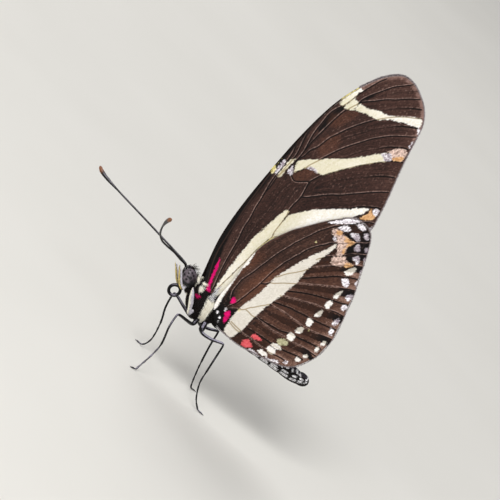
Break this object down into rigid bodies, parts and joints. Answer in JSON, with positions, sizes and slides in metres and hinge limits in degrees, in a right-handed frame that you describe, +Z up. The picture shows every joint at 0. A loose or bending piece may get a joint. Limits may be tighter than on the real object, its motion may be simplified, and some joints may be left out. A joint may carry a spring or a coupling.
{
  "type": "zebra longwing butterfly",
  "caption": "Life-size still model of a zebra longwing butterfly standing with its long narrow wings closed over its back, dark brown with cream bands.",
  "frame": {"origin": "on the floor under the middle of the whole insect's box, at the level of the flats under its feet", "axes": "+Z up along the closed wings, the head points to -X, the left side is at -Y"},
  "size_m": [0.0418, 0.0246, 0.0562],
  "materials": {
    "wing": "fine matt scales, dark brown with cream bands",
    "body": "short hair and scales, black with cream spots",
    "eye": "glossy, finely faceted, dark brown",
    "palp": "cream and yellow scales",
    "horn_black": "smooth black, satin"
  },
  "bodies": {
    "root": {"head": "body", "thorax": "body", "abdomen": "body", "eye_left": "eye", "eye_right": "eye", "palp_left": "palp", "palp_right": "palp", "proboscis": "horn_black", "antenna_left": "horn_black", "antenna_right": "horn_black", "foreleg_left": "palp", "foreleg_right": "palp", "midleg_left": "horn_black", "midleg_right": "horn_black", "hindleg_left": "horn_black", "hindleg_right": "horn_black", "forewing_left": "wing", "forewing_right": "wing", "hindwing_left": "wing", "hindwing_right": "wing"}
  },
  "joints": []
}
